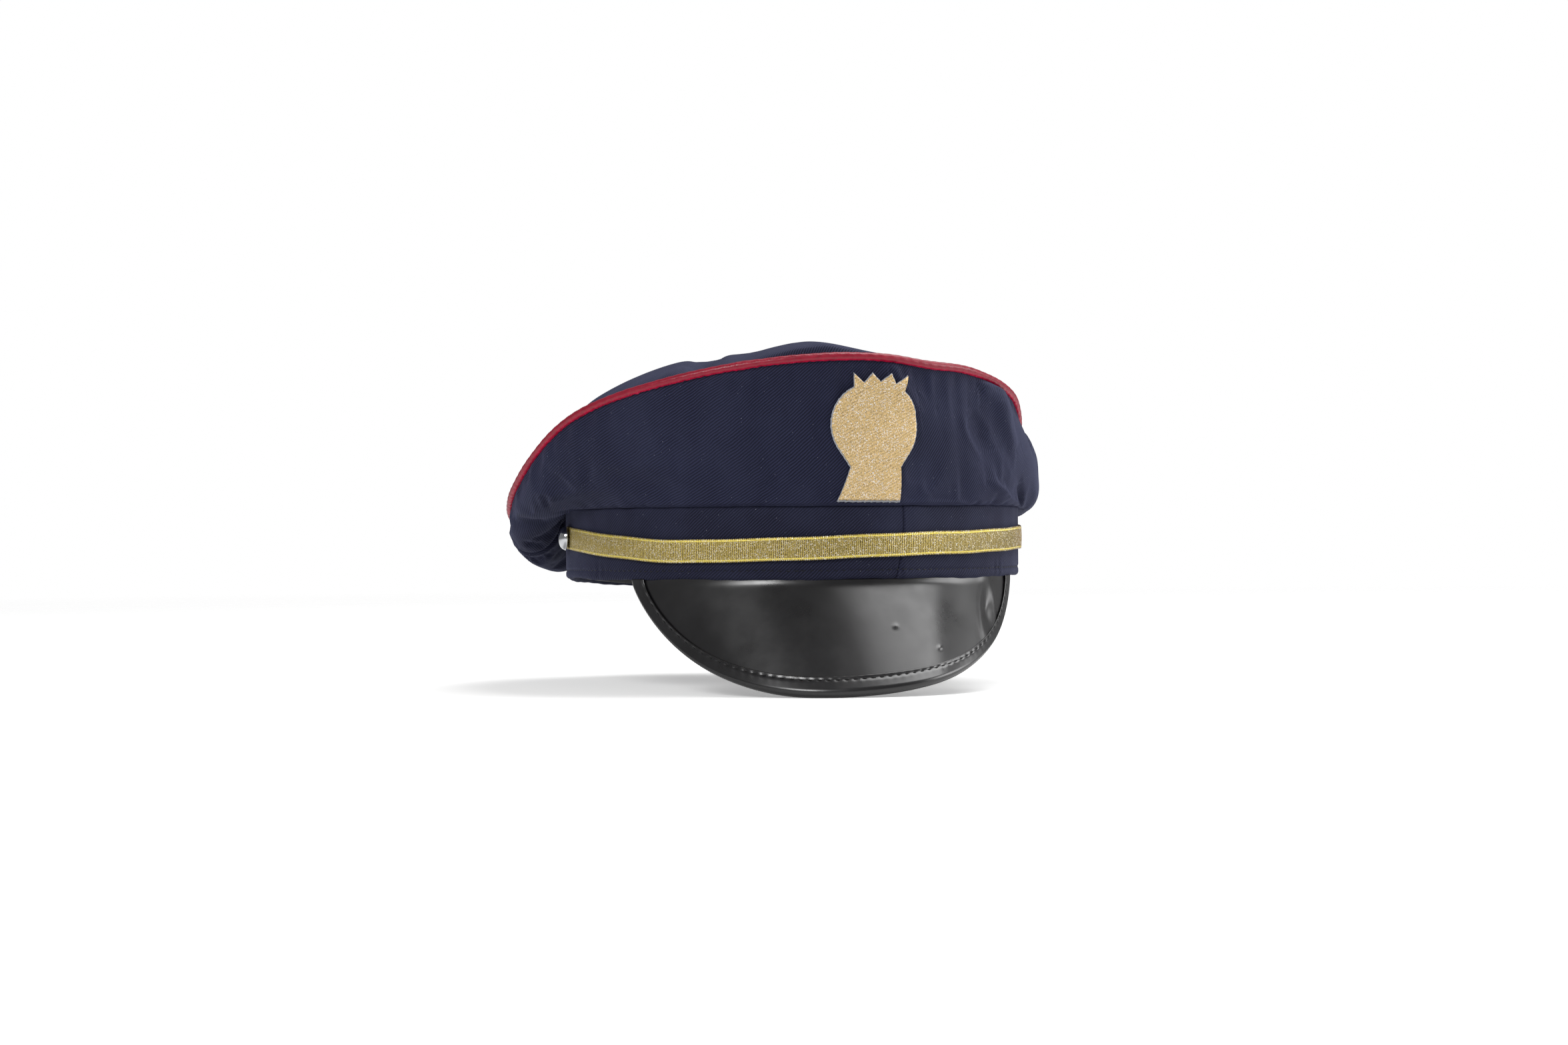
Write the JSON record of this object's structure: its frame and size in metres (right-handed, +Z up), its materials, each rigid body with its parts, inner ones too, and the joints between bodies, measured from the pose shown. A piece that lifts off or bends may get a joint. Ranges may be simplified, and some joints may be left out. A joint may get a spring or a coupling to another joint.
{
  "type": "peaked costume cap",
  "caption": "Soft-topped costume cap with a stiff band, a downswept peak, piped crown edge, gilt ribbon held by two domed buttons, and a plain crested badge.",
  "frame": {"origin": "centre of the head opening, level with the band's lower edge at the front", "axes": "+Z up, the peak points along -Y, the wearer's right is -X"},
  "size_m": [0.2198, 0.2563, 0.1368],
  "materials": {
    "navy_twill": "dark navy polyester twill with fine diagonal ribs and a soft sheen",
    "navy_thread": "dark navy sewing thread",
    "black_thread": "black sewing thread",
    "black_vinyl": "thin black vinyl with a faint grain",
    "black_patent": "black coated sheet, satin gloss with broad soft highlights",
    "fibre_board": "grey-brown fibre board",
    "buckram": "stiffened off-white buckram",
    "crimson_satin": "crimson satin bias strip",
    "cotton_cord": "off-white cotton cord",
    "gilt_lame": "pale gold metallic woven face with fine glitter",
    "badge_felt": "silver-grey cut backing",
    "gilt_ribbon": "yellow-gold metallic ribbon with fine cross ribs and bright selvedges",
    "chrome": "bright plated domed metal"
  },
  "bodies": {
    "cap": {"sweatband": "black_vinyl", "band_stiffener": "buckram", "band_cover": "navy_twill", "hem_thread": "navy_thread", "peak_cover": "black_patent", "peak_board": "fibre_board", "peak_lining": "black_vinyl", "peak_binding": "black_patent", "peak_thread": "black_thread", "crown_side_front": "navy_twill", "crown_side_rear": "navy_twill", "crown_tip": "navy_twill", "front_stay": "buckram", "piping_cover": "crimson_satin", "piping_cord": "cotton_cord", "badge_backing": "badge_felt", "badge_face": "gilt_lame", "button_cap_right": "chrome", "button_cap_left": "chrome", "button_tack_right": "chrome", "button_tack_left": "chrome"},
    "ribbon": {"chin_ribbon": "gilt_ribbon"}
  },
  "joints": [
    {"name": "ribbon_swing", "type": "hinge", "parent": "cap", "child": "ribbon", "pos_m": [0, 0, 0.0163], "axis": [1, 0, 0], "range_deg": [-3.5, 1.5]}
  ]
}
